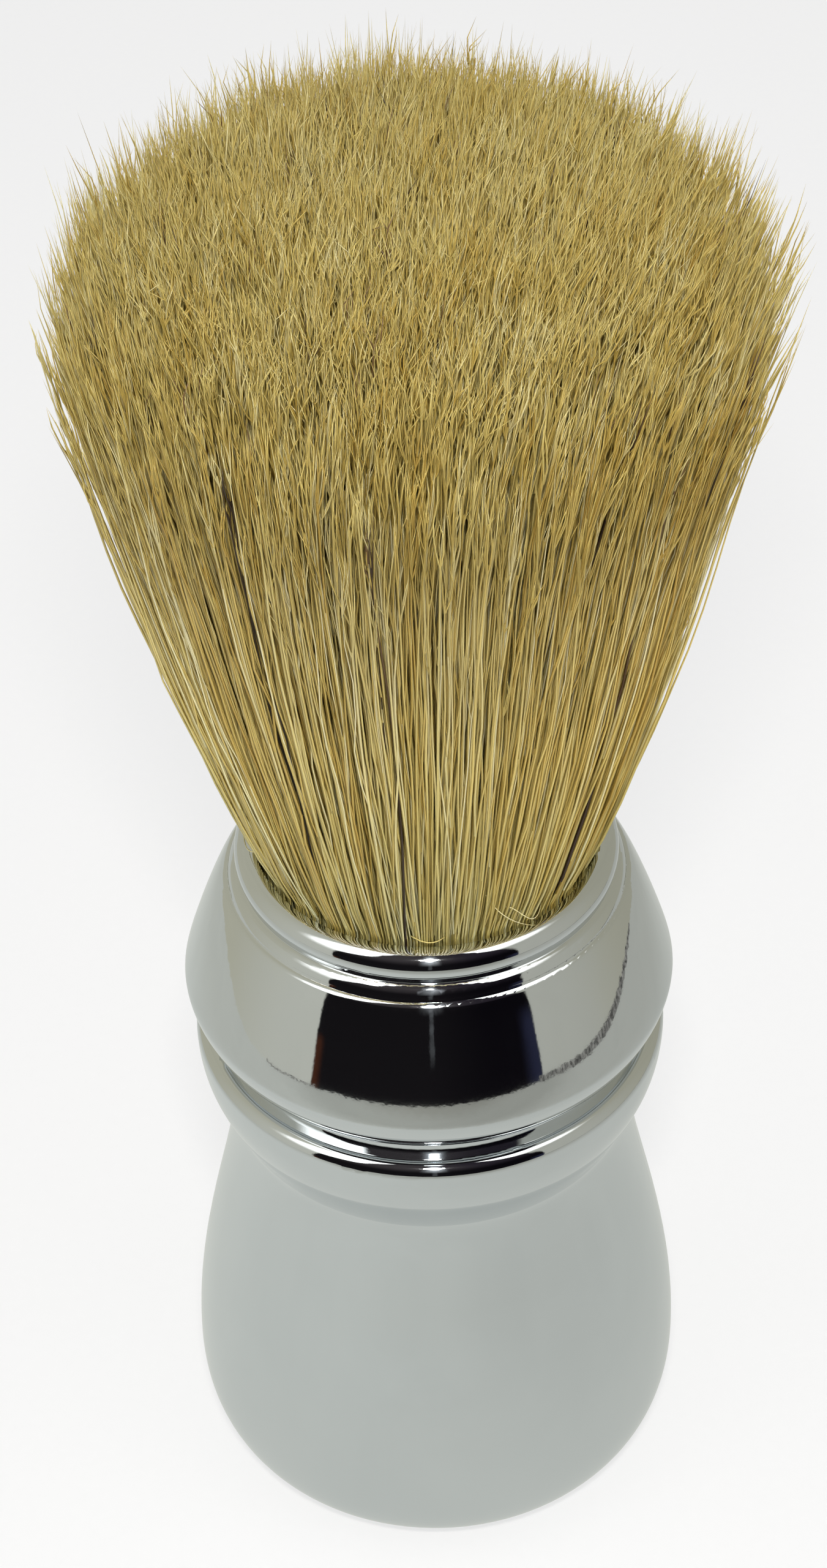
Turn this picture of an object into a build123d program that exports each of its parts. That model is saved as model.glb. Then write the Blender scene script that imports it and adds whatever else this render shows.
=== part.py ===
"""Barber's shaving brush: a chrome-plated hollow handle moulded in two shells, a plug under its
foot, and a bound bundle of boar bristle cast into a cup in its mouth.

Units are millimetres. The origin is the centre of the foot's rest plane, +Z runs up the
handle's axis through the tuft, and every piece is round about that axis.
"""
from build123d import *
import os

os.makedirs("parts", exist_ok=True)

# ---- driving dimensions ------------------------------------------------------------------
handle_height = 63.9        # rest plane to the rim
collar_radius = 19.23       # the bulging collar at its widest
body_radius = 20.25         # the pear-shaped body at its widest
neck_radius = 16.13         # the waist between body and bead
bead_radius = 18.65         # the bead that closes the top of the body
mouth_radius = 13.2         # the opening that the bristles stand in
tuft_height = 60.0          # rim to the top of the domed tuft
tuft_radius = 25.6          # the fan of bristle at its widest
wall = 2.0                  # moulded wall of the handle

# ---- heights along the axis ---------------------------------------------------------------
rim_z = handle_height
body_wide_z = 8.6
neck_z = 35.9
bead_wide_z = 44.55
bead_roll = 1.14            # radius of the bead's rounded top edge
parting_z = bead_wide_z + bead_roll     # collar and body meet at the bottom of the recess
collar_lip_z = 47.36        # lower edge of the collar, above the recess
collar_wide_z = 50.62

# ---- rings round the mouth ----------------------------------------------------------------
# Each rounding has a centre (radius, height), a radius, and an arc (first angle, sweep) that
# runs clockwise from the top.
rim_roll = 1.5
rim_centre = (13.3, rim_z - rim_roll)
rim_arc = (90, -110)
ring_centre = (14.227, 60.325)
ring_roll = 1.06            # upper edge of the lower ring
ring_arc = (72, -25.6)
flank_roll = 1.4            # the lower ring's flank turns down on a wider arc
flank_sweep = -30.6
shoulder_centre = (15.271, 59.611)
shoulder_roll = 0.62        # upper edge of the collar
shoulder_arc = (75, -39.5)
rim_lip = 0.3               # rounding from the rim into the mouth

# ---- recess between collar and body -------------------------------------------------------
recess_radius = 17.2
collar_lip_radius = 17.5
lip_undercut = 0.04         # the collar's underside falls by this much towards the recess

# ---- pulls: how far each curve of the outline runs on in its end direction ------------------
foot_pull = (4.93, 0.53)    # outwards and upwards
bulge_pull = 0.6 * body_wide_z
flank_pull = 10.9
waist_pull_down = 6.2
waist_pull_up = 2.24
bead_pull = 4.95
shoulder_pull = (16.9, 58.39)
collar_pull_up = 0.55
collar_pull_down = 1.03
lip_pull = (0.66, 0.1)      # outwards and upwards

# ---- foot ---------------------------------------------------------------------------------
foot_radius = 13.7
cap_seat_radius = 11.2
cap_seat_depth = 2.4
cap_gap = 0.1
cap_recess = 0.6            # the cap sits this far above the rest plane
plug_bore_radius = 10.2
plug_ring_height = 4.0

# ---- joint between collar and body --------------------------------------------------------
spigot_radius = 14.5
socket_radius = 14.6
spigot_bottom_z = 37.0
socket_floor_z = 36.9       # the ledge inside the body that stops the spigot
ledge_radius = 13.2

# ---- knot: cup, resin, binding and bristle root -------------------------------------------
knot_floor_z = 40.0         # floor of the collar's socket
vent_radius = 2.5
cup_radius = 12.7
cup_wall = 0.7
cup_floor = 1.2
cup_top_z = 58.0
adhesive_bed = 0.5
adhesive_top_z = 49.0
resin_height = 6.0
cord_radius = 0.45
cord_turns = 6
cord_pitch = 0.84
waist_radius = 10.9         # the bundle where the binding pulls it in

# ---- flexible part of the tuft ------------------------------------------------------------
# The bundle bends about the middle of the mouth. It is cut there into three closed solids by
# balls about that point, so each can swing past the next with an even gap.
pivot_z = rim_z
root_ball = 12.4
neck_ball = 15.4
ball_gap = 0.4
neck_polar = 68.0           # degrees from the axis that the neck cap reaches down to
fan_polar = 60.0            # the same for the fan, which swings further
flare_power = 0.9           # how soon the bundle opens above the rim
fan_wide_height = 46.0      # height above the rim of the widest ring


def bundle_radius(height):
    """Outer radius of the bristle bundle at a height above the rim."""
    share = max(height, 0.0) / fan_wide_height
    return mouth_radius - 0.3 + (tuft_radius - mouth_radius + 0.3) * share**flare_power


def finish(part, name):
    """Label a piece and write it as its own STEP file."""
    part.label = name
    export_step(part, f"parts/{name}.step")


# ---- handle_body: pear-shaped hollow shell with the bead at its top -------------------------
with BuildPart() as handle_body:
    with BuildSketch(Plane.XZ):
        with BuildLine():
            foot = Line((plug_bore_radius, cap_seat_depth), (cap_seat_radius, cap_seat_depth))
            seat = Line(foot @ 1, (cap_seat_radius, 0))
            rest = Line(seat @ 1, (foot_radius, 0))
            bulge = Bezier(
                rest @ 1,
                (foot_radius + foot_pull[0], foot_pull[1]),
                (body_radius, body_wide_z - bulge_pull),
                (body_radius, body_wide_z),
            )
            flank = Bezier(
                bulge @ 1,
                (body_radius, body_wide_z + flank_pull),
                (neck_radius, neck_z - waist_pull_down),
                (neck_radius, neck_z),
            )
            under = Bezier(
                flank @ 1,
                (neck_radius, neck_z + waist_pull_up),
                (bead_radius, bead_wide_z - bead_pull),
                (bead_radius, bead_wide_z),
            )
            bead_top = CenterArc((bead_radius - bead_roll, bead_wide_z), bead_roll, 0, 90)
            lid = Line(bead_top @ 1, (socket_radius, parting_z))
            socket = Line(lid @ 1, (socket_radius, socket_floor_z))
            ledge = Line(socket @ 1, (ledge_radius, socket_floor_z))
            throat = Line(ledge @ 1, (ledge_radius, socket_floor_z - wall))
            inner_flank = Spline(
                throat @ 1,
                (body_radius - wall, body_wide_z + 1.0),
                tangents=((0.2, -1), (0, -1)),
            )
            inner_bulge = Spline(
                inner_flank @ 1,
                (plug_bore_radius + 2.0, cap_seat_depth + wall),
                tangents=((0, -1), (-1, -0.05)),
            )
            inner_floor = Line(inner_bulge @ 1, (plug_bore_radius, cap_seat_depth + wall))
            Line(inner_floor @ 1, foot @ 0)
        make_face()
    revolve(axis=Axis.Z)
finish(handle_body.part, "handle_body")

# ---- core: the ring-shaped hollow inside the collar, less the ribs that stiffen it -----------
core_floor_z = collar_lip_z + 0.6
core_top_z = 57.4
core_top_radius = 15.2
core_lip_radius = recess_radius - 1.2
core_inner_radius = spigot_radius + 0.4
with BuildPart() as core:
    with BuildSketch(Plane.XZ):
        with BuildLine():
            Polyline(
                (core_inner_radius, parting_z),
                (core_lip_radius, parting_z),
                (core_lip_radius, core_floor_z),
                (collar_radius - wall, collar_wide_z - 0.6),
                (collar_radius - wall - 0.35, collar_wide_z + 2.2),
                (core_top_radius, core_top_z),
                (core_inner_radius, core_top_z),
                close=True,
            )
        make_face()
    revolve(axis=Axis.Z)
    with BuildSketch(Plane.XY.offset(core_floor_z)):
        with PolarLocations((spigot_radius + collar_radius) / 2, 8):
            Rectangle(collar_radius - spigot_radius, 1.0)
    extrude(amount=core_top_z - core_floor_z, mode=Mode.SUBTRACT)

# ---- handle_collar: bulging upper shell with two rings, a rim and the spigot below ----------
with BuildPart() as handle_collar:
    with BuildSketch(Plane.XZ):
        with BuildLine():
            bore = Line((mouth_radius, knot_floor_z), (mouth_radius, rim_z - rim_lip))
            ring_1 = CenterArc(rim_centre, rim_roll, *rim_arc)
            Spline(bore @ 1, ring_1 @ 0, tangents=((0, 1), ring_1 % 0))
            ring_2 = CenterArc(ring_centre, ring_roll, *ring_arc)
            Spline(
                ring_1 @ 1,
                ring_2 @ 0,
                tangents=(ring_1 % 1, ring_2 % 0),
                tangent_scalars=(0.9, 0.5),
            )
            ring_2_flank = JernArc(ring_2 @ 1, ring_2 % 1, flank_roll, flank_sweep)
            shoulder = CenterArc(shoulder_centre, shoulder_roll, *shoulder_arc)
            Spline(
                ring_2_flank @ 1,
                shoulder @ 0,
                tangents=(ring_2_flank % 1, shoulder % 0),
                tangent_scalars=(0.5, 0.5),
            )
            bulb = Bezier(
                shoulder @ 1,
                shoulder_pull,
                (collar_radius, collar_wide_z + collar_pull_up),
                (collar_radius, collar_wide_z),
            )
            turn_in = Bezier(
                bulb @ 1,
                (collar_radius, collar_wide_z - collar_pull_down),
                (collar_lip_radius + lip_pull[0], collar_lip_z + lip_pull[1]),
                (collar_lip_radius, collar_lip_z),
            )
            lip_under = Line(turn_in @ 1, (recess_radius, collar_lip_z - lip_undercut))
            recess = Line(lip_under @ 1, (recess_radius, parting_z))
            seat = Line(recess @ 1, (spigot_radius, parting_z))
            spigot = Line(seat @ 1, (spigot_radius, spigot_bottom_z))
            spigot_end = Line(spigot @ 1, (vent_radius, spigot_bottom_z))
            vent = Line(spigot_end @ 1, (vent_radius, knot_floor_z))
            Line(vent @ 1, bore @ 0)
        make_face()
    revolve(axis=Axis.Z)
    # the thick bulge is cored from below, so that it moulds without sink marks
    add(core.part, mode=Mode.SUBTRACT)
finish(handle_collar.part, "handle_collar")

# ---- base_cap: plug that closes the hollow handle from below --------------------------------
with BuildPart() as base_cap:
    cap_radius = cap_seat_radius - cap_gap
    with BuildSketch(Plane.XZ):
        with BuildLine():
            Polyline(
                (0, cap_recess),
                (cap_radius - 0.4, cap_recess),
                (cap_radius, cap_recess + 0.4),
                (cap_radius, cap_seat_depth),
                (plug_bore_radius - cap_gap, cap_seat_depth),
                (plug_bore_radius - cap_gap, cap_seat_depth + plug_ring_height - 0.6),
                (plug_bore_radius - cap_gap - 0.5, cap_seat_depth + plug_ring_height),
                (plug_bore_radius - 1.5, cap_seat_depth + plug_ring_height),
                (plug_bore_radius - 1.5, cap_seat_depth),
                (0, cap_seat_depth),
                close=True,
            )
        make_face()
    revolve(axis=Axis.Z)
    # snap ridges that grip the edge of the shell's bottom opening
    with BuildSketch(Plane.XY.offset(cap_seat_depth + wall + 0.15)):
        with PolarLocations(plug_bore_radius - cap_gap, 6):
            Rectangle(0.9, 3.0)
    extrude(amount=0.7)
    # cross ribs stiffen the plate
    with BuildSketch(Plane.XY.offset(cap_seat_depth)):
        with PolarLocations(0, 3, angular_range=180):
            Rectangle(2 * (plug_bore_radius - 1.5) + 0.4, 1.0)
    extrude(amount=plug_ring_height * 0.5)
finish(base_cap.part, "base_cap")

# ---- knot_adhesive: bed and collar of glue round the cup ------------------------------------
with BuildPart() as knot_adhesive:
    with BuildSketch(Plane.XZ):
        with BuildLine():
            Polyline(
                (vent_radius, knot_floor_z),
                (mouth_radius, knot_floor_z),
                (mouth_radius, adhesive_top_z),
                (cup_radius, adhesive_top_z),
                (cup_radius, knot_floor_z + adhesive_bed),
                (vent_radius, knot_floor_z + adhesive_bed),
                close=True,
            )
        make_face()
    revolve(axis=Axis.Z)
finish(knot_adhesive.part, "knot_adhesive")

# ---- knot_cup: thin cup that the bundle is cast into ----------------------------------------
cup_base_z = knot_floor_z + adhesive_bed
cup_bore = cup_radius - cup_wall
resin_z = cup_base_z + cup_floor
with BuildPart() as knot_cup:
    with BuildSketch(Plane.XZ):
        with BuildLine():
            Polyline(
                (0, cup_base_z),
                (cup_radius - 0.5, cup_base_z),
                (cup_radius, cup_base_z + 0.5),
                (cup_radius, cup_top_z),
                (cup_bore + 0.2, cup_top_z),
                (cup_bore, cup_top_z - 0.4),
                (cup_bore, resin_z),
                (0, resin_z),
                close=True,
            )
        make_face()
    revolve(axis=Axis.Z)
finish(knot_cup.part, "knot_cup")

# ---- resin_plug: cast resin that locks the butt ends of the bristles ------------------------
with BuildPart() as resin_plug:
    with BuildSketch(Plane.XY.offset(resin_z)):
        Circle(cup_bore)
    extrude(amount=resin_height)
finish(resin_plug.part, "resin_plug")

# ---- binding_cord: turns of cord wound round the bundle above the resin ---------------------
root_z = resin_z + resin_height
cord_z = root_z + 0.8
cord_ring = waist_radius + cord_radius
with BuildPart() as binding_cord:
    with BuildSketch(Plane.XZ):
        for turn in range(cord_turns):
            with Locations((cord_ring, cord_z + turn * cord_pitch)):
                Circle(cord_radius)
    revolve(axis=Axis.Z)
finish(binding_cord.part, "binding_cord")

# ---- bristle_root: the fixed part of the bundle, from the resin to a ball at the mouth ------
cord_low = cord_z - cord_radius
cord_high = cord_z + (cord_turns - 1) * cord_pitch + cord_radius
with BuildPart() as bristle_root:
    with BuildSketch(Plane.XZ):
        with BuildLine():
            side = Polyline(
                (0, root_z),
                (cup_bore, root_z),
                (cup_bore, cord_low - 0.1),
                (waist_radius, cord_low - 0.1),
                (waist_radius, cord_high + 0.1),
                (cup_bore, cord_high + 0.1),
                (cup_bore, cup_top_z),
                (root_ball, cup_top_z + 1.0),
                (root_ball, pivot_z),
            )
            top = CenterArc((0, pivot_z), root_ball, 0, 90)
            Line(top @ 1, side @ 0)
        make_face()
    revolve(axis=Axis.Z)
finish(bristle_root.part, "bristle_root")

# ---- bristle_neck: the part of the bundle that takes the first bend -------------------------
with BuildPart() as bristle_neck:
    with BuildSketch(Plane.XZ):
        with BuildLine():
            inside = CenterArc((0, pivot_z), root_ball + ball_gap, 90 - neck_polar, neck_polar)
            outside = CenterArc((0, pivot_z), neck_ball, 90 - neck_polar, neck_polar)
            Line(inside @ 0, outside @ 0)
            Line(inside @ 1, outside @ 1)
        make_face()
    revolve(axis=Axis.Z)
finish(bristle_neck.part, "bristle_neck")

# ---- bristle_fan: the open fan of the tuft with its domed top -------------------------------
fan_ball = neck_ball + ball_gap
fan_skirt_h = 9.2
dome_height = tuft_height - fan_wide_height
with BuildPart() as bristle_fan:
    with BuildSketch(Plane.XZ):
        with BuildLine():
            hollow = CenterArc((0, pivot_z), fan_ball, 90 - fan_polar, fan_polar)
            skirt = Line(hollow @ 0, (bundle_radius(fan_skirt_h), pivot_z + fan_skirt_h))
            flare = Spline(
                skirt @ 1,
                (bundle_radius(0.5 * fan_wide_height), pivot_z + 0.5 * fan_wide_height),
                (tuft_radius, pivot_z + fan_wide_height),
                tangents=((0.33, 1), (0.12, 1)),
            )
            dome = Bezier(
                flare @ 1,
                (tuft_radius, pivot_z + fan_wide_height + 0.75 * dome_height),
                (0.62 * tuft_radius, pivot_z + tuft_height),
                (0, pivot_z + tuft_height),
            )
            Line(dome @ 1, hollow @ 1)
        make_face()
    revolve(axis=Axis.Z)
finish(bristle_fan.part, "bristle_fan")
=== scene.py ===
"""Looks of the barber's shaving brush: polished chrome shells, a glue-set knot and a fan of
boar bristle modelled strand by strand. Blender 4.5, metres, in the CAD model's frame."""
import bpy
import math
import numpy as np
from mathutils import Matrix, Vector


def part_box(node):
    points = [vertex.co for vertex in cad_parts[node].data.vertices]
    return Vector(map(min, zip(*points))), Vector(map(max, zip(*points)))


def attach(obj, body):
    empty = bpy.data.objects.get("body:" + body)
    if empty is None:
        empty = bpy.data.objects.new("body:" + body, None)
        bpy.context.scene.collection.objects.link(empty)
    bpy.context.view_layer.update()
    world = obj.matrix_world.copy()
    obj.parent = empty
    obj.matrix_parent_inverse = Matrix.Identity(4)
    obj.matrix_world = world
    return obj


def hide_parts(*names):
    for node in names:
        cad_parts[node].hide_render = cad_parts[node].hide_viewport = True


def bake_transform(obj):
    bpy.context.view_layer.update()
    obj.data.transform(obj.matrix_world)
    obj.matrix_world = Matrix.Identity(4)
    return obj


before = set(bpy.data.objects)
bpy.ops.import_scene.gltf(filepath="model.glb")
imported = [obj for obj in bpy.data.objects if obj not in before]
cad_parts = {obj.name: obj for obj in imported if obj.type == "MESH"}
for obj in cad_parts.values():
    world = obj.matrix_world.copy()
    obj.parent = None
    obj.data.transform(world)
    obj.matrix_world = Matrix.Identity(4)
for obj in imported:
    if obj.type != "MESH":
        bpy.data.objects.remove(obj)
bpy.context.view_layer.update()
MM = 0.001

# ---- places taken from the frame: heights up Z and radii round it, in metres -----------------
RIM_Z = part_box("handle_collar")[1][2]
MOUTH_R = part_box("knot_adhesive")[1][0]
TOP_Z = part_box("bristle_fan")[1][2]
FAN_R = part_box("bristle_fan")[1][0]


# ---- node helpers ---------------------------------------------------------------------------
class Nodes:
    """A material's or world's node tree with short calls to add and join nodes."""

    def __init__(self, tree):
        self.tree = tree
        tree.nodes.clear()

    def add(self, kind, inputs=None, **settings):
        node = self.tree.nodes.new(kind)
        for key, value in settings.items():
            setattr(node, key, value)
        for key, value in (inputs or {}).items():
            if isinstance(value, bpy.types.NodeSocket):
                self.tree.links.new(value, node.inputs[key])
            else:
                node.inputs[key].default_value = value
        return node

    def math(self, operation, a, b=0.0, c=0.0, clamp=False):
        inputs = {0: a, 1: b, 2: c}
        return self.add("ShaderNodeMath", inputs, operation=operation, use_clamp=clamp).outputs[0]

    def multiply(self, first, *others):
        """Product of two or more numbers."""
        for other in others:
            first = self.math("MULTIPLY", first, other)
        return first

    def hypot(self, a, b):
        """Length of the pair a, b."""
        squares = self.math("ADD", self.multiply(a, a), self.multiply(b, b))
        return self.math("SQRT", squares)

    def ramp(self, fac, stops):
        node = self.add("ShaderNodeValToRGB", {"Fac": fac})
        elements = node.color_ramp.elements
        while len(elements) < len(stops):
            elements.new(0.5)
        for element, (position, colour) in zip(elements, stops):
            element.position = position
            element.color = (*colour, 1.0)
        return node.outputs["Color"]

    def mix(self, fac, a, b, blend_type="MIX"):
        node = self.add("ShaderNodeMix", data_type="RGBA", blend_type=blend_type)
        for key, value in ((0, fac), (6, a), (7, b)):
            if isinstance(value, bpy.types.NodeSocket):
                self.tree.links.new(value, node.inputs[key])
            elif key == 0:
                node.inputs[key].default_value = value
            else:
                node.inputs[key].default_value = (*value, 1.0)
        return node.outputs[2]

    def shade(self, colour, amount):
        """A colour made darker or lighter by a number."""
        grey = self.add("ShaderNodeCombineXYZ", {"X": amount, "Y": amount, "Z": amount})
        return self.mix(1.0, colour, grey.outputs["Vector"], "MULTIPLY")

    def fade(self, value, low, high):
        """0 below low and 1 above high, with a smooth step between."""
        node = self.add("ShaderNodeMapRange", {"Value": value, "From Min": low, "From Max": high},
                        interpolation_type="SMOOTHSTEP")
        return node.outputs["Result"]

    def fall(self, value, low, high):
        """1 below low and 0 above high, with a smooth step between."""
        return self.math("SUBTRACT", 1.0, self.fade(value, low, high))

    def glow(self, colour, strength=1.0):
        """A light of its own, the same from every side."""
        node = self.add("ShaderNodeEmission", {"Color": colour, "Strength": strength})
        return node.outputs["Emission"]

    def surface(self, shader):
        self.add("ShaderNodeOutputMaterial", {"Surface": shader})

    def noise(self, vector, scale, detail=3.0, roughness=0.5, distortion=0.0):
        inputs = {"Vector": vector, "Scale": scale, "Detail": detail,
                  "Roughness": roughness, "Distortion": distortion}
        return self.add("ShaderNodeTexNoise", inputs).outputs["Fac"]


def new_material(name):
    material = bpy.data.materials.new(name)
    material.use_nodes = True
    return material, Nodes(material.node_tree)


def link(name, data):
    """Put an object with this data into the scene."""
    made = bpy.data.objects.new(name, data)
    bpy.context.scene.collection.objects.link(made)
    return made


# ---- materials ------------------------------------------------------------------------------
CHROME_TINTS = [(0.3, (0.685, 0.712, 0.732)), (0.7, (0.705, 0.728, 0.745))]
CHROME_ROUGHNESS = 0.012    # of the clean plate; haze and hairlines add to it

# A strand's colour is its own tint, from golden to pale, times a factor that follows its length
# from the root to the tip.
BRISTLE_TINTS = [
    (0.00, (0.51, 0.345, 0.082)),
    (0.25, (0.63, 0.475, 0.140)),
    (0.60, (0.73, 0.615, 0.255)),
    (1.00, (0.87, 0.810, 0.540)),
]
BRISTLE_LENGTH = [
    (0.00, (0.77, 0.81, 0.74)),
    (0.18, (0.98, 0.99, 0.86)),
    (0.45, (1.08, 1.07, 0.92)),
    (0.72, (1.00, 1.00, 0.96)),
    (0.88, (0.77, 0.715, 0.50)),
    (1.00, (0.92, 0.91, 0.76)),
]
BRISTLE_DARK = [
    (0.2, (0.020, 0.012, 0.008)),
    (0.6, (0.055, 0.030, 0.014)),
    (0.9, (0.20, 0.12, 0.05)),
]
BRISTLE_THROUGH = 0.24      # share of the light that passes through a strand


def chrome_material():
    """Bright plated chrome over moulded plastic: a mirror with faint orange peel and hairlines."""
    material, n = new_material("chrome_plate")
    place = n.add("ShaderNodeTexCoord").outputs["Object"]
    # orange peel of the moulding below the plate, and fine pits
    peel = n.noise(place, 420.0, 2.0)
    pits = n.noise(place, 3200.0, 2.0)
    height = n.math("MULTIPLY_ADD", pits, 0.25, peel)
    bump = n.add("ShaderNodeBump", {"Strength": 0.035, "Distance": 0.0001, "Height": height})
    # handling haze: soft broad patches and hairlines that run round the handle
    stretch = n.add("ShaderNodeMapping", {"Vector": place, "Scale": (60.0, 60.0, 1400.0)})
    hairline = n.noise(stretch.outputs["Vector"], 1.0, 4.0, 0.6)
    haze = n.noise(place, 55.0, 4.0, 0.6)
    rough = n.math("MULTIPLY_ADD", haze, 0.03, CHROME_ROUGHNESS)
    rough = n.math("MULTIPLY_ADD", hairline, 0.02, rough)
    shader = n.add("ShaderNodeBsdfPrincipled", {
        "Base Color": n.ramp(haze, CHROME_TINTS), "Metallic": 1.0,
        "Roughness": rough, "Normal": bump.outputs["Normal"],
    })
    n.surface(shader.outputs["BSDF"])
    return material


def plastic_material(name, colour, roughness, grain):
    """Moulded plastic with a fine spark-eroded grain and slight colour unevenness."""
    material, n = new_material(name)
    place = n.add("ShaderNodeTexCoord").outputs["Object"]
    texture = n.noise(place, grain, 3.0)
    patch = n.noise(place, grain * 0.04, 3.0)
    dark = tuple(c * 0.8 for c in colour)
    tint = n.ramp(patch, [(0.35, dark), (0.65, colour)])
    rough = n.math("MULTIPLY_ADD", texture, 0.15, roughness)
    bump = n.add("ShaderNodeBump", {"Strength": 0.2, "Distance": 0.00005, "Height": texture})
    shader = n.add("ShaderNodeBsdfPrincipled", {
        "Base Color": tint, "Roughness": rough, "Normal": bump.outputs["Normal"],
    })
    n.surface(shader.outputs["BSDF"])
    return material


def bristle_material():
    """Boar bristle. The UV map holds each strand's tint across and how far along it a point is
    upwards."""
    material, n = new_material("boar_bristle")
    uv = n.add("ShaderNodeUVMap", uv_map="OFBake").outputs["UV"]
    split = n.add("ShaderNodeSeparateXYZ", {"Vector": uv})
    column, along = split.outputs["X"], split.outputs["Y"]
    strand = n.math("FLOOR", n.multiply(column, float(TINTS)))
    pick = n.add("ShaderNodeTexWhiteNoise", {"W": strand}, noise_dimensions="1D").outputs["Value"]
    base = n.ramp(column, BRISTLE_TINTS)
    # the strand's colour drifts along its length
    wander = n.add("ShaderNodeCombineXYZ", {"X": n.multiply(strand, 7.31), "Y": along})
    drift = n.noise(wander.outputs["Vector"], 5.0, 3.0)
    base = n.shade(base, n.math("MULTIPLY_ADD", drift, 0.34, 0.84))
    base = n.mix(1.0, base, n.ramp(along, BRISTLE_LENGTH), "MULTIPLY")
    # the last columns are the few brown and black hairs of a natural bundle
    dark = n.math("GREATER_THAN", column, 1.0 - DARK_TINTS / TINTS)
    brown = n.math("MULTIPLY_ADD", pick, 0.5, n.multiply(along, 0.5))
    colour = n.mix(dark, base, n.ramp(brown, BRISTLE_DARK))
    rough = n.math("MULTIPLY_ADD", pick, 0.12, 0.34)
    shader = n.add("ShaderNodeBsdfPrincipled", {
        "Base Color": colour, "Roughness": rough, "IOR": 1.55,
    })
    # light passes through the thin strands, which keeps the gaps between them golden
    through = n.add("ShaderNodeBsdfTranslucent", {"Color": colour})
    both = n.add("ShaderNodeMixShader", {0: BRISTLE_THROUGH, 1: shader.outputs["BSDF"],
                                         2: through.outputs["BSDF"]})
    n.surface(both.outputs["Shader"])
    return material


# ---- bristle --------------------------------------------------------------------------------
TINTS = 256                 # colour columns in the strands' shared UV map
DARK_TINTS = 4              # the last of them are brown or black
STRANDS = 9800
BUNDLE_SEED = 20
LOCKS = 380                 # tufts that the strands gather in on the way up
GATHERED_AT = 30.0          # height above the rim where the gathering is complete
TIP_SHORT = 1.3             # how far the tips fall short of the dome
SHAGGY_DROP = 17.0          # how far down the outermost strands may end
SHAGGY_FROM = 0.70          # share of the radius where that begins
CROSSING = 0.42             # sideways drift of a strand across its neighbours,
CROSSED_AT = 15.0           # reached at this height above the rim
WAVE = 0.12                 # faint wave of a strand,
WAVED_AT = 20.0             # full from this height
THINNEST = 0.086            # radius of the finest strand,
THICKENING = 0.064          # and what the coarsest has on top of that
DARK_SHARE = 0.011
VEIL_SHARE = 0.10           # pale strands that lie across the others
OUTER_SHARE = 0.74          # strands nearer the axis than this are hidden below the cut
LOW_PIECES = 2
HIGH_PIECES = 8
RIM = RIM_Z / MM            # the strand code works in millimetres above the rim
ROOT_R = MOUTH_R / MM - 0.3
WIDE_R = FAN_R / MM - 0.9   # the loose tips stand out round this
TOP_H = (TOP_Z - RIM_Z) / MM + 0.8
WIDE_H = TOP_H - 14.5       # height above the rim where the tuft is widest
CUT_H = 14.0                # strands are cut here, where one bend ends and the next begins
FLARE = 0.84                # how soon the bundle opens above the rim
DOME = 2.25                 # how square the dome's shoulder is
SINK = 2.0                  # how far below the rim the strands are modelled
LEAN = np.array([-0.35, 0.25])      # the whole tuft leans this far at its widest,
TOP_LEAN = np.array([1.3, 0.0])     # and its top back this far to the other side,
TOP_LEAN_FROM, TOP_LEAN_RUN = 34.0, 26.0    # between these heights: from, and for how long


def bundle_radius(height):
    """Outer radius of the bundle at a height above the rim."""
    share = np.clip(height, 0.0, None) / WIDE_H
    return ROOT_R + (WIDE_R - ROOT_R) * share**FLARE


def dome_height(share):
    """Height of the tuft's top over a point at a share of its radius from the axis."""
    return WIDE_H + (TOP_H - WIDE_H) * (1.0 - np.clip(share, 0, 1) ** DOME) ** (1 / DOME)


def sunflower(rng, count, shake):
    """Even points in a unit disc: their shares of the radius and their angles."""
    index = np.arange(count) + 0.5
    share = np.clip(np.sqrt(index / count) + rng.normal(0, 0.4 * shake, count), 0.0, 1.0)
    angle = index * math.pi * (3.0 - math.sqrt(5.0)) + rng.normal(0, shake, count)
    return share, angle


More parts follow.
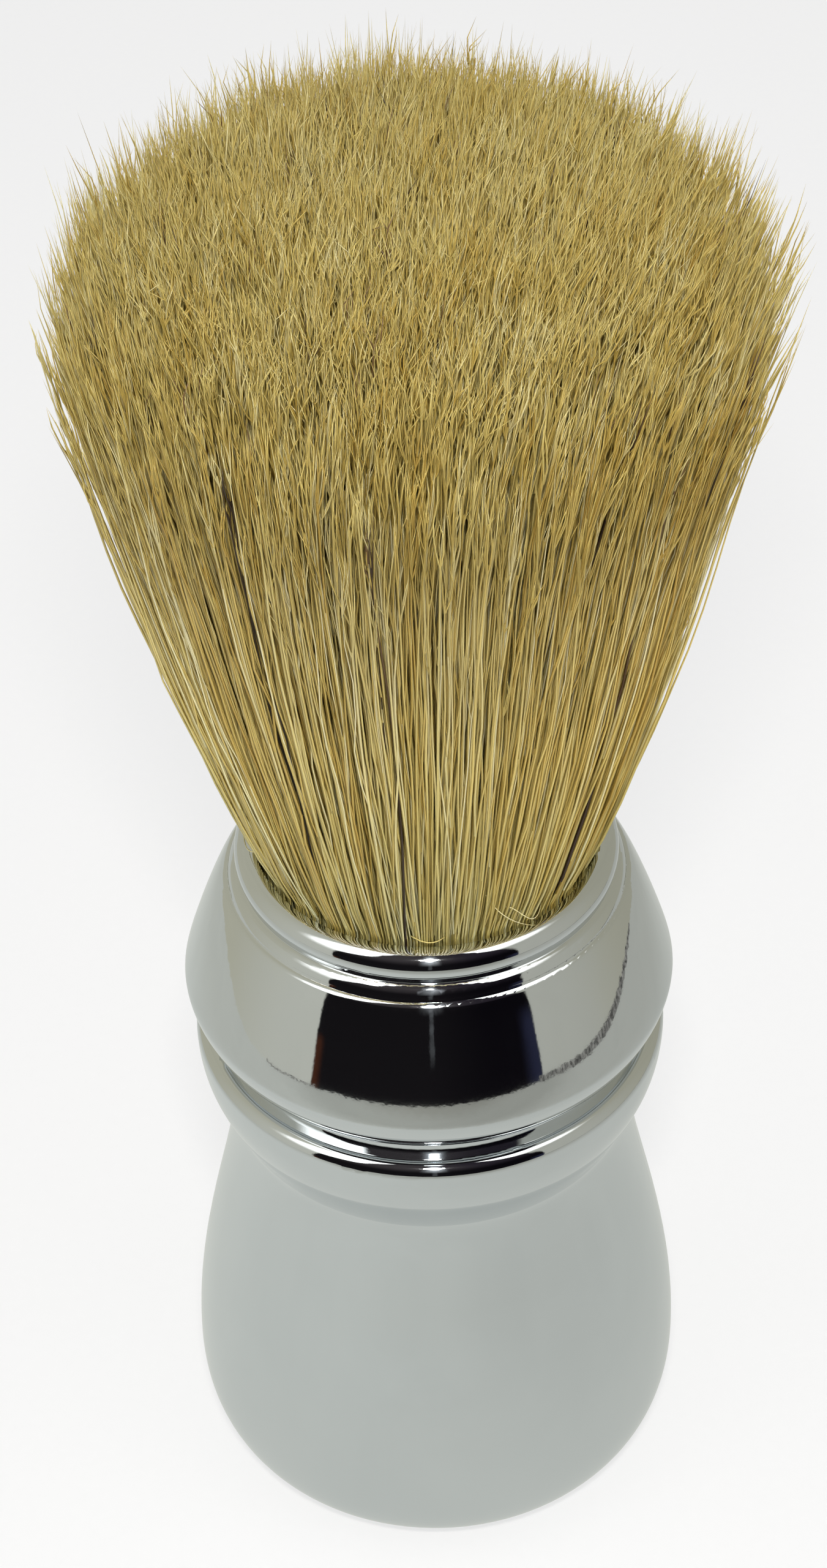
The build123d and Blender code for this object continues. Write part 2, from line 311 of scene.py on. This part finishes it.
class Bundle:
    """Every strand's own numbers, drawn once from one seeded generator."""

    def __init__(self, count):
        rng = np.random.default_rng(BUNDLE_SEED)
        self.plant(rng, count)
        self.trim(rng, count)
        self.curve(rng, count)
        self.colour(rng, count)

    def plant(self, rng, count):
        """Where each strand stands, and the lock that it leans towards on the way up."""
        self.share, angle = sunflower(rng, count, 0.03)
        x, y = self.share * np.cos(angle), self.share * np.sin(angle)
        lock_share, lock_angle = sunflower(rng, LOCKS, 0.12)
        lock_x, lock_y = lock_share * np.cos(lock_angle), lock_share * np.sin(lock_angle)
        near = np.argmin((x[:, None] - lock_x) ** 2 + (y[:, None] - lock_y) ** 2, axis=1)
        self.lock = near
        self.pull = np.stack([lock_x[near] - x, lock_y[near] - y], -1)
        self.pull_amount = rng.uniform(0.1, 0.6, LOCKS)[near] * rng.uniform(0.3, 1.0, count)
        self.root = np.stack([x, y], -1)

    def trim(self, rng, count):
        """Tip height: along the dome, mostly a little short. The outer strands end at all
        heights of the upper half, which makes the front shaggy."""
        short = np.abs(rng.normal(0, 1.0, count))
        edge = np.clip((self.share - SHAGGY_FROM) / (1.0 - SHAGGY_FROM), 0, 1)
        shaggy = (rng.random(count) < 0.36) * rng.uniform(0.0, 1.0, count) ** 1.6
        step = rng.normal(0, 0.4, LOCKS)[self.lock]
        self.tip = dome_height(self.share) - short * TIP_SHORT - shaggy * edge * SHAGGY_DROP + step
        long_ones = rng.random(count) < 0.02
        self.tip = self.tip + long_ones * rng.uniform(0.3, 1.3, count)

    def curve(self, rng, count):
        """Shape: a bend that grows to the tip, a drift across the others and a faint wave."""
        unruly = rng.random(count)
        amount = np.where(unruly < 0.03, 2.5, np.where(unruly < 0.35, 1.6, 0.85))
        lock_bend = rng.normal(0, 0.35, (LOCKS, 2))[self.lock]
        bend = rng.normal(0, 1.0, (count, 2)) * amount[:, None] + lock_bend
        # the outermost strands lie closer, so that few of them leave the outline
        self.bend = bend * np.where(self.share > 0.9, 0.6, 1.0)[:, None]
        self.bend_power = rng.uniform(1.6, 3.4, count)
        self.veil = rng.random(count) < VEIL_SHARE
        self.veil &= (self.share > 0.80) | (rng.random(count) < 0.5)
        self.cross = rng.normal(0, CROSSING, (count, 2)) * np.where(self.veil, 1.9, 1.0)[:, None]
        self.wave = rng.normal(0, WAVE, (count, 2))
        self.wavelength = rng.uniform(9.0, 26.0, count)
        self.phase = rng.uniform(0, 2 * math.pi, (count, 2))

    def colour(self, rng, count):
        """Thickness, and the UV column of the tint: strands of one lock are alike."""
        radius = THINNEST + THICKENING * rng.random(count) ** 1.3
        self.radius = radius * np.where(self.veil, 0.75, 1.0)
        dark = rng.random(count) < DARK_SHARE
        tone = rng.uniform(0.32, 0.68, LOCKS)[self.lock] + rng.normal(0, 0.15, count)
        tone = np.where(self.veil, 0.85 + 0.4 * rng.random(count), tone)
        light = (np.clip(tone, 0.0, 1.0) * (TINTS - DARK_TINTS - 1)).astype(int)
        self.column = np.where(dark, TINTS - 1 - rng.integers(0, DARK_TINTS, count), light)

    def line(self, who, heights):
        """Centre points (strand, ring, xyz) of strands at heights above the rim (strand, ring)."""
        h = np.clip(heights, 0.0, None)
        up = h / self.tip[who][:, None]
        gather = self.pull_amount[who][:, None] * np.clip(h / GATHERED_AT, 0, 1) ** 1.3
        spread = self.root[who][:, None, :] + self.pull[who][:, None, :] * gather[..., None]
        flat = spread * bundle_radius(h)[..., None]
        curl = up ** self.bend_power[who][:, None]
        flat = flat + self.bend[who][:, None, :] * curl[..., None]
        flat = flat + self.cross[who][:, None, :] * np.clip(h / CROSSED_AT, 0, 1.5)[..., None]
        flat = flat + LEAN * (h / WIDE_H)[..., None]
        flat = flat + TOP_LEAN * (np.clip((h - TOP_LEAN_FROM) / TOP_LEAN_RUN, 0, 1) ** 2)[..., None]
        turn = 2 * math.pi * h[..., None] / self.wavelength[who][:, None, None]
        start = self.phase[who][:, None, :]
        wave = np.sin(turn + start) - np.sin(start)
        flat = flat + self.wave[who][:, None, :] * wave * np.clip(h / WAVED_AT, 0, 1)[..., None]
        return np.concatenate([flat, (heights + RIM)[..., None]], -1)


def tubes(centres, radii, sides, tip):
    """Vertices and faces of many thin tubes at once. centres is (tube, ring, xyz), radii is
    (tube, ring). With tip, the last ring closes to a point."""
    count, rings, _ = centres.shape
    along = np.gradient(centres, axis=1)
    along /= np.linalg.norm(along, axis=2, keepdims=True)
    side = np.cross(along, np.array([0.0, 1.0, 0.0]))
    side /= np.linalg.norm(side, axis=2, keepdims=True)
    other = np.cross(along, side)
    corners = np.arange(sides) * 2 * math.pi / sides
    ring = (side[:, :, None, :] * np.cos(corners)[:, None]
            + other[:, :, None, :] * np.sin(corners)[:, None])
    points = centres[:, :, None, :] + ring * radii[:, :, None, None]
    body = rings - 1 if tip else rings
    per_tube = body * sides + (1 if tip else 0)
    vertices = points[:, :body].reshape(count, body * sides, 3)
    if tip:
        vertices = np.concatenate([vertices, centres[:, -1:, :]], 1)
    k = np.arange(sides)
    k_next = (k + 1) % sides
    quads = [np.stack([r * sides + k, r * sides + k_next, (r + 1) * sides + k_next,
                       (r + 1) * sides + k], -1) for r in range(body - 1)]
    quads = np.concatenate(quads, 0)
    base = (np.arange(count) * per_tube)[:, None, None]
    quads = (quads[None] + base).reshape(-1, 4)
    triangles = np.zeros((0, 3), int)
    if tip:
        last = (body - 1) * sides
        fan = np.stack([last + k, last + k_next, np.full(sides, body * sides)], -1)
        triangles = (fan[None] + base).reshape(-1, 3)
    ring_of = np.repeat(np.arange(body), sides)
    if tip:
        ring_of = np.append(ring_of, rings - 1)
    return vertices.reshape(-1, 3), quads, triangles, np.tile(ring_of, count), per_tube


class Gather:
    """Collects tubes into one mesh with the strands' UV columns."""

    def __init__(self):
        self.vertices, self.quads, self.triangles, self.uvs, self.total = [], [], [], [], 0

    def add(self, centres, radii, sides, tip, column, along):
        vertices, quads, triangles, ring_of, per_tube = tubes(centres, radii, sides, tip)
        self.quads.append(quads + self.total)
        self.triangles.append(triangles + self.total)
        u = np.repeat((column + 0.5) / TINTS, per_tube)
        count = len(column)
        v = along[np.repeat(np.arange(count), per_tube), ring_of]
        self.vertices.append(vertices)
        self.uvs.append(np.stack([u, np.clip(v, 0.01, 0.99)], -1))
        self.total += len(vertices)

    def make(self, name, material):
        vertices = np.concatenate(self.vertices) * MM
        quads, triangles = np.concatenate(self.quads), np.concatenate(self.triangles)
        uvs = np.concatenate(self.uvs)
        loops = np.concatenate([quads.ravel(), triangles.ravel()]).astype(np.int32)
        starts = np.concatenate([np.arange(len(quads)) * 4,
                                 len(quads) * 4 + np.arange(len(triangles)) * 3]).astype(np.int32)
        mesh = bpy.data.meshes.new(name)
        mesh.vertices.add(len(vertices))
        mesh.vertices.foreach_set("co", vertices.astype(np.float32).ravel())
        mesh.loops.add(len(loops))
        mesh.loops.foreach_set("vertex_index", loops)
        mesh.polygons.add(len(starts))
        mesh.polygons.foreach_set("loop_start", starts)
        layer = mesh.uv_layers.new(name="OFBake")
        layer.data.foreach_set("uv", uvs[loops].astype(np.float32).ravel())
        mesh.update(calc_edges=True)
        mesh.polygons.foreach_set("use_smooth", np.ones(len(starts), bool))
        mesh.materials.append(material)
        return link(name, mesh)


def low_part(bundle, who):
    """The strands from inside the mouth up to the cut."""
    gather = Gather()
    steps = np.array([-SINK, 0.0, 3.5, 7.5, 11.0, CUT_H])
    heights = np.tile(steps, (len(who), 1))
    centres = bundle.line(who, heights)
    radii = bundle.radius[who][:, None] * np.linspace(1.0, 0.94, len(steps))
    along = (heights + SINK) / (bundle.tip[who][:, None] + SINK)
    gather.add(centres, radii, 3, False, bundle.column[who], along)
    return gather


# The split tip is up to four fine flags: the chance that a strand has each of them, where along
# a flag its rings stand, and how thick it is there against the strand.
FLAG_CHANCES = (1.0, 1.0, 0.6, 0.25)
FLAG_STEPS = np.array([0.0, 0.3, 0.62, 1.0])
FLAG_TAPER = np.array([0.62, 0.54, 0.42, 0.0])
SHAFT_RINGS = 8


def high_part(bundle, who):
    """The strands from the cut to their split tips."""
    gather = Gather()
    rng = np.random.default_rng(int(who[0]) + 11)
    tip = bundle.tip[who]
    flag = rng.uniform(4.0, 11.0, len(who))
    split_h = tip - flag
    share = np.linspace(0.0, 1.0, SHAFT_RINGS)
    heights = CUT_H + (split_h[:, None] + 1.0 - CUT_H) * share
    centres = bundle.line(who, heights)
    radii = bundle.radius[who][:, None] * np.linspace(0.94, 0.62, SHAFT_RINGS)
    along = (heights + SINK) / (tip[:, None] + SINK)
    gather.add(centres, radii, 3, False, bundle.column[who], along)
    # the flags part and curl away from one another, less so at the edge of the tuft
    for chance in FLAG_CHANCES:
        keep = rng.random(len(who)) < chance
        some = who[keep]
        reach = flag[keep] * rng.uniform(0.6, 1.04, len(some))
        loose = np.where(bundle.share[some] > 0.8, 0.48, 1.1)[:, None]
        part = rng.normal(0, 0.55, (len(some), 2)) * (reach / 5.0)[:, None] * loose
        curl = rng.normal(0, 0.36, (len(some), 2)) * loose
        heights = split_h[keep][:, None] + reach[:, None] * FLAG_STEPS
        centres = bundle.line(some, heights)
        centres[:, :, :2] += part[:, None, :] * (FLAG_STEPS**1.4)[None, :, None]
        centres[:, :, :2] += curl[:, None, :] * np.sin(math.pi * FLAG_STEPS)[None, :, None]
        radii = bundle.radius[some][:, None] * FLAG_TAPER
        along = (heights + SINK) / (bundle.tip[some][:, None] + SINK)
        gather.add(centres, radii, 3, True, bundle.column[some], along)
    return gather


# Hairs that have come loose at the mouth: points (millimetres from the axis to the right, behind
# it, and above the rim), the strand's radius and its colour column.
LOOSE_HAIRS = (
    ([(-13.9, -1.2, 0.6), (-13.3, -3.6, 1.2), (-12.4, -5.2, 2.4), (-11.7, -6.4, 1.6)], 0.045, 210),
    ([(3.4, -12.6, 7.8), (4.4, -13.2, 4.6), (6.1, -12.9, 2.2), (8.2, -11.5, 0.3)], 0.04, 235),
    ([(5.2, -12.4, 2.6), (6.4, -12.6, 2.9), (7.6, -12.2, 1.6), (8.4, -11.2, 2.4)], 0.035, 240),
    ([(-0.9, -12.4, -0.2), (-1.1, -13.2, 0.9), (0.0, -13.9, 1.0), (1.0, -13.3, 0.8),
      (1.6, -12.4, 0.0)], 0.05, 150),
)


def loose_hairs(material):
    """The few curled hairs that lie against the lip of the mouth."""
    gather = Gather()
    for points, radius, column in LOOSE_HAIRS:
        points = np.array(points)
        knots = np.linspace(0, 1, len(points))
        fine = np.linspace(0, 1, 15)
        degree = len(points) - 1
        curve = np.stack([np.polyval(np.polyfit(knots, points[:, k], degree), fine)
                          for k in range(3)], -1)
        curve[:, 2] += RIM
        radii = radius * np.sqrt(np.clip(1.0 - fine**6, 0.0, 1.0))
        gather.add(curve[None], radii[None], 4, True, np.array([column]), fine[None])
    piece = gather.make("bristle_loose", material)
    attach(piece, "handle")


def make_bristle():
    """The whole tuft, in pieces: the outer strands' low parts up to the cut, every strand's high
    part above it, and the loose hairs.
    """
    material = bristle_material()
    bundle = Bundle(STRANDS)
    order = np.arange(STRANDS)
    outer = order[bundle.share > OUTER_SHARE]
    for index in range(LOW_PIECES):
        piece = low_part(bundle, outer[index::LOW_PIECES]).make(f"bristle_low_{index}", material)
        if index == 0:
            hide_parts("bristle_root", "bristle_neck")
        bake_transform(piece)
    for index in range(HIGH_PIECES):
        piece = high_part(bundle, order[index::HIGH_PIECES]).make(f"bristle_high_{index}", material)
        if index == 0:
            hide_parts("bristle_fan")
        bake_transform(piece)
    loose_hairs(material)


# ---- stage ----------------------------------------------------------------------------------
# What the mirror shows is a light tent: paper below, pale cloth walls left and right, and an
# open front with the dark room, the lit roof on both sides of it, and the flash.
# In plan it is two straight side walls, joined in front by half an ellipse.
TENT_MID = 0.006            # the tent stands this far to the right of the brush
TENT_HALF = 0.188           # from its middle to each side wall
TENT_SHOULDER = -0.110      # Y where the walls begin to round to the front
TENT_FRONT = 0.186          # how far the front bows out from there
TENT_BACK = 0.180           # Y where the walls end and open out
TENT_WING = (0.300, 0.330)  # X and Y of the opened ends
WALL_STEPS = 7
ARC_STEPS = 24
TENT_HEIGHT = 2.2

# The pattern on it is laid out by direction from the brush, in degrees: turn to the right of
# straight ahead, and rise above the eye's height.
EYE_Z = 0.057
DEGREES = 180.0 / math.pi
WALL_COOL = (0.590, 0.592, 0.520)
WALL_CREAM = (0.500, 0.488, 0.385)
ROOF_GLOW = (2.6, 2.6, 2.5)
ROOM_LOW = (0.0085, 0.0075, 0.0085)
ROOM_HIGH = (0.055, 0.048, 0.050)
FLASH_GLOW = (7.0, 7.0, 7.0)
FLASH_TURN, FLASH_RISE = 0.6, 50.0
FLASH_WIDE, FLASH_TALL = 2.6, 9.0

# Painted shadow in the seams where the walls meet the paper, on dark strips: side, nearest and
# furthest Y, and width. The left one is hardly visible and the right one is crumpled.
SEAM_SHADOWS = {
    "seam_left": (-1, -0.165, -0.030, 0.0018),
    "seam_right": (1, -0.185, 0.115, 0.0060),
}
SEAM_LIFT = 0.0004          # height of the seam's inner edge
# painted shadow: the dark flecked tones of the seams
SEAM_SHADOW_TONES = [(0.42, (0.05, 0.048, 0.045)), (0.60, (0.34, 0.33, 0.30))]

FLOOR_REACH = 25.0
PAPER_TONES = [(0.3, (0.86, 0.86, 0.855)), (0.7, (0.88, 0.88, 0.875))]
PAPER_GLOW = 0.95           # its own white, so that it stays pale far from the lights,
PAPER_GLOW_SHARE = 0.72     # and how much of what the camera sees is that white
WORLD_LIGHT = (0.44, 0.44, 0.44)
WHITE = (1.0, 1.0, 1.0)

LIGHT_TARGET = Vector((0.0, 0.0, 0.06))
FLASH_LIFT = Vector((0.0, 0.0, 0.055))      # from the camera to the flash on it
FLASH_SIZE = (0.034, 0.022)
TENT_LIGHT_SIZE = (0.5, 0.5)
TENT_LIGHTS = {
    "tent_top": ((0.0, 0.0, 0.55), 0.20),
    "tent_left": ((-0.45, -0.1, 0.3), 0.62),
    "tent_right": ((0.45, -0.1, 0.3), 0.56),
}

CAMERA_PLACE = Vector((0.0, -0.2078, 0.2461))
CAMERA_PITCH, CAMERA_PAN, CAMERA_ROLL = (math.radians(a) for a in (40.54, -0.241, -1.387))
CAMERA_LENS = 82.9
CAMERA_SENSOR = 36.0


def mirror_only(piece):
    """Leave a stage piece to the mirror reflections alone."""
    piece.visible_camera = False
    piece.visible_diffuse = False
    piece.visible_shadow = False
    piece.visible_transmission = False


def tent_wall(n, place, turn):
    """Cloth walls: cool beside the opening, cream further back, a little darker on the right."""
    cloud = n.noise(place, 9.0, 4.0, 0.6)
    side = n.math("ABSOLUTE", turn)
    warm = n.fade(n.math("MULTIPLY_ADD", cloud, 30.0, side), 75.0, 130.0)
    wall = n.mix(warm, WALL_COOL, WALL_CREAM)
    wall = n.mix(n.fade(turn, -20.0, 60.0), wall, (0.82, 0.82, 0.82), "MULTIPLY")
    return n.shade(wall, n.math("MULTIPLY_ADD", cloud, 0.14, 0.93))


def tent_roof(n, turn, rise):
    """1 where the flash blows out the roof on both sides of the opening, and 0 elsewhere."""
    left = n.multiply(n.fade(rise, 14.0, 42.0), n.fade(turn, -76.0, -62.0),
                      n.fall(turn, 0.0, 1.0))
    right = n.multiply(n.fade(rise, 42.0, 58.0), n.fall(turn, 72.0, 96.0),
                       n.fade(turn, 0.0, 1.0))
    return n.math("ADD", left, right, clamp=True)


def tent_opening(n, turn, rise):
    """1 inside the open front, which narrows and blurs towards its top, and 0 on the cloth."""
    left = n.math("MULTIPLY_ADD", n.fade(rise, 22.0, 46.0), 15.0, -50.0)
    right = n.math("MULTIPLY_ADD", n.fade(rise, 40.0, 62.0), -8.0, 46.5)
    soft = n.math("MULTIPLY_ADD", n.fade(rise, 5.0, 40.0), 2.0, 0.5)
    gaps = (n.math("SUBTRACT", turn, left), n.math("SUBTRACT", right, turn))
    return n.multiply(*(n.fade(n.math("DIVIDE", gap, soft), -1.0, 1.0) for gap in gaps))


def dark_room(n, place, turn, rise):
    """What the open front shows: the room, darker on the right, and the flash."""
    room = n.mix(n.fade(rise, 15.0, 50.0), ROOM_LOW, ROOM_HIGH)
    dim = n.mix(n.fade(turn, -5.0, 30.0), WHITE, (0.45, 0.42, 0.55))
    room = n.mix(1.0, room, dim, "MULTIPLY")
    # a brown edge low at the left, and a navy one at the right
    brown = n.multiply(n.fall(rise, -7.5, -5.0), n.fall(turn, -49.0, -45.5))
    room = n.mix(brown, room, (0.060, 0.020, 0.010))
    navy = n.multiply(n.fade(turn, 38.0, 45.0), n.fall(rise, -4.0, 6.0))
    room = n.mix(navy, room, (0.020, 0.022, 0.045))
    # a pale streak below the flash, painted light for the flash's highlight drawn out up and down
    # the chrome, and the haze that the flash throws round itself
    off = n.math("ABSOLUTE", n.math("SUBTRACT", turn, FLASH_TURN))
    flash_streak = n.multiply(n.fall(off, 0.5, 1.3), n.fade(rise, -6.0, -3.0),
                       n.noise(place, 60.0, 3.0))
    room = n.mix(flash_streak, room, (0.13, 0.135, 0.14))
    glare = n.multiply(n.fall(off, 0.0, 7.0), n.fade(rise, 12.0, 46.0),
                       n.fall(rise, 56.0, 78.0))
    room = n.mix(glare, room, (0.72, 0.75, 0.78))
    wide = n.math("DIVIDE", off, FLASH_WIDE)
    tall = n.math("DIVIDE", n.math("SUBTRACT", rise, FLASH_RISE), FLASH_TALL)
    return n.mix(n.fall(n.hypot(wide, tall), 0.55, 1.5), room, FLASH_GLOW)


def tent_material():
    """Glow of the tent: its cloth, and the room through its open front."""
    material, n = new_material("tent_cloth")
    place = n.add("ShaderNodeTexCoord").outputs["Object"]
    split = n.add("ShaderNodeSeparateXYZ", {"Vector": place})
    x, y, z = split.outputs["X"], split.outputs["Y"], split.outputs["Z"]
    turn = n.multiply(n.math("ARCTAN2", x, n.multiply(y, -1.0)), DEGREES)
    height = n.math("SUBTRACT", z, EYE_Z)
    rise = n.multiply(n.math("ARCTAN2", height, n.hypot(x, y)), DEGREES)
    cloth = n.mix(tent_roof(n, turn, rise), tent_wall(n, place, turn), ROOF_GLOW)
    colour = n.mix(tent_opening(n, turn, rise), cloth, dark_room(n, place, turn, rise))
    n.surface(n.glow(colour))
    return material


def seam_shadow_material(name):
    """Dark flecked glow of a seam: painted shadow in the gap between wall and paper."""
    material, n = new_material(name)
    place = n.add("ShaderNodeTexCoord").outputs["Object"]
    n.surface(n.glow(n.ramp(n.noise(place, 260.0, 4.0, 0.7), SEAM_SHADOW_TONES)))
    return material


def tent_plan():
    """Points of the plan, from behind on the left round the front to behind on the right."""
    left, right = TENT_MID - TENT_HALF, TENT_MID + TENT_HALF
    down = np.linspace(TENT_BACK, TENT_SHOULDER, WALL_STEPS)
    turn = np.linspace(math.pi, 2 * math.pi, ARC_STEPS + 1)[1:-1]
    arc = [(TENT_MID + TENT_HALF * math.cos(a), TENT_SHOULDER + TENT_FRONT * math.sin(a))
           for a in turn]
    wing_x, wing_y = TENT_WING
    return ([(-wing_x, wing_y)] + [(left, y) for y in down] + arc
            + [(right, y) for y in down[::-1]] + [(wing_x, wing_y)])


def make_seam_shadow(name, plan, side, front, back, width):
    """A narrow slope in the corner between wall and paper, which carries the seam's painted shadow.
    """
    run = [(x, y) for x, y in plan if x * side > 0 and front <= y <= back]
    shrink = [1 - width / math.hypot(x, y) for x, y in run]
    inner = [(x * part, y * part, SEAM_LIFT) for (x, y), part in zip(run, shrink)]
    outer = [(x, y, width * 0.5) for x, y in run]
    size = len(run)
    mesh = bpy.data.meshes.new(name)
    mesh.from_pydata(inner + outer, [], [(k, k + 1, size + k + 1, size + k)
                                         for k in range(size - 1)])
    mesh.materials.append(seam_shadow_material(name))
    mirror_only(link(name, mesh))


def make_tent():
    """The tent's walls, and the painted shadow of dark seams where they meet the paper."""
    plan = tent_plan()
    count = len(plan)
    mesh = bpy.data.meshes.new("tent")
    low = [(x, y, 0.0) for x, y in plan]
    high = [(x, y, TENT_HEIGHT) for x, y in plan]
    faces = [(k, (k + 1) % count, count + (k + 1) % count, count + k) for k in range(count)]
    mesh.from_pydata(low + high, [], faces)
    mesh.materials.append(tent_material())
    mirror_only(link("tent", mesh))
    for name, (side, front, back, width) in SEAM_SHADOWS.items():
        make_seam_shadow(name, plan, side, front, back, width)


def paper_shader(n, place):
    """The paper itself: white, with fine fibre."""
    tint = n.ramp(n.noise(place, 900.0, 4.0), PAPER_TONES)
    white = n.glow((*WHITE, 1.0), PAPER_GLOW)
    paper = n.add("ShaderNodeBsdfDiffuse", {"Color": tint})
    return n.add("ShaderNodeMixShader", {0: PAPER_GLOW_SHARE, 1: paper.outputs["BSDF"],
                                         2: white}).outputs["Shader"]


def mirrored_paper(n, place):
    """The paper as the chrome shows it, as a glow with painted light and shade: grey, lighter near
    the brush, darker towards the opening and on the right, with faint painted shade of creases.
    """
    split = n.add("ShaderNodeSeparateXYZ", {"Vector": place})
    x, y = split.outputs["X"], split.outputs["Y"]
    ahead = n.multiply(y, -1.0)
    away = n.fade(n.hypot(x, y), 0.060, 0.140)
    seen = n.mix(away, (0.660, 0.680, 0.635), (0.560, 0.570, 0.515))
    seen = n.mix(n.fade(ahead, 0.080, 0.170), seen, (0.80, 0.80, 0.79), "MULTIPLY")
    seen = n.mix(n.fade(ahead, 0.200, 0.300), seen, (0.82, 0.80, 0.78), "MULTIPLY")
    seen = n.mix(n.fade(x, -0.060, 0.100), seen, (0.84, 0.835, 0.83), "MULTIPLY")
    # painted light and shade of faint creases in the paper
    crease_shade = n.noise(place, 28.0, 5.0, 0.55, 0.6)
    return n.glow(n.shade(seen, n.math("MULTIPLY_ADD", crease_shade, 0.10, 0.95)))


def make_floor():
    """A sheet of white paper. The chrome reflects in its place a glow of the tent's floor, with
    painted light and shade.
    """
    mesh = bpy.data.meshes.new("floor")
    corners = [(x * FLOOR_REACH, y * FLOOR_REACH, 0)
               for x, y in ((-1, -1), (1, -1), (1, 1), (-1, 1))]
    mesh.from_pydata(corners, [], [(0, 1, 2, 3)])
    floor = link("floor", mesh)
    material, n = new_material("floor_paper")
    place = n.add("ShaderNodeTexCoord").outputs["Object"]
    rays = n.add("ShaderNodeLightPath")
    both = n.add("ShaderNodeMixShader", {0: rays.outputs["Is Glossy Ray"],
                                         1: paper_shader(n, place), 2: mirrored_paper(n, place)})
    n.surface(both.outputs["Shader"])
    mesh.materials.append(material)


def make_world():
    """A white sweep for the camera and soft white light."""
    world = bpy.data.worlds.new("studio")
    bpy.context.scene.world = world
    world.use_nodes = True
    n = Nodes(world.node_tree)
    rays = n.add("ShaderNodeLightPath")
    colour = n.mix(rays.outputs["Is Camera Ray"], WORLD_LIGHT, WHITE)
    glow = n.add("ShaderNodeBackground", {"Color": colour, "Strength": 1.0})
    n.add("ShaderNodeOutputWorld", {"Surface": glow.outputs["Background"]})


def area_light(name, place, size, power, colour=WHITE):
    data = bpy.data.lights.new(name, "AREA")
    data.shape = "RECTANGLE"
    data.size, data.size_y = size
    data.energy = power
    data.color = colour
    light = link(name, data)
    light.location = place
    aim = LIGHT_TARGET - Vector(place)
    light.rotation_euler = aim.to_track_quat("-Z", "Y").to_euler()
    return light


def make_lights():
    """The flash on the camera, and soft light through the tent's cloth."""
    area_light("flash", CAMERA_PLACE + FLASH_LIFT, FLASH_SIZE, 0.80, (1.0, 0.98, 0.94))
    for name, (place, power) in TENT_LIGHTS.items():
        light = area_light(name, place, TENT_LIGHT_SIZE, power)
        light.visible_glossy = False


def make_camera():
    """A close hand-held view from in front and above, turned a touch against the upright."""
    data = bpy.data.cameras.new("camera")
    camera = link("camera", data)
    bpy.context.scene.camera = camera
    forward = Vector((math.sin(CAMERA_PAN) * math.cos(CAMERA_PITCH),
                      math.cos(CAMERA_PAN) * math.cos(CAMERA_PITCH), -math.sin(CAMERA_PITCH)))
    right = forward.cross(Vector((0, 0, 1))).normalized()
    up = right.cross(forward)
    roll_x, roll_y = math.cos(CAMERA_ROLL), math.sin(CAMERA_ROLL)
    right, up = right * roll_x + up * roll_y, up * roll_x - right * roll_y
    turn = Matrix((right, up, -forward)).transposed()
    camera.matrix_world = Matrix.Translation(CAMERA_PLACE) @ turn.to_4x4()
    data.sensor_fit = "VERTICAL"
    data.sensor_height = CAMERA_SENSOR
    data.lens = CAMERA_LENS
    data.clip_start = 0.01


# ---- build ----------------------------------------------------------------------------------
make_camera()
bpy.context.scene.view_settings.view_transform = "Standard"
make_world()
make_floor()
make_tent()
make_lights()

chrome = chrome_material()
SHADES = {
    "handle_body": chrome,
    "handle_collar": chrome,
    "base_cap": plastic_material("cap_plastic", (0.035, 0.035, 0.037), 0.45, 2600.0),
    "knot_adhesive": plastic_material("adhesive", (0.55, 0.44, 0.22), 0.2, 900.0),
    "knot_cup": plastic_material("cup_plastic", (0.78, 0.76, 0.70), 0.35, 2000.0),
    "resin_plug": plastic_material("cast_resin", (0.42, 0.25, 0.08), 0.2, 700.0),
    "binding_cord": plastic_material("cord", (0.52, 0.45, 0.33), 0.7, 5000.0),
}
for node, material in SHADES.items():
    part = bpy.data.objects[node]
    for slot in part.material_slots:
        slot.material = material

make_bristle()
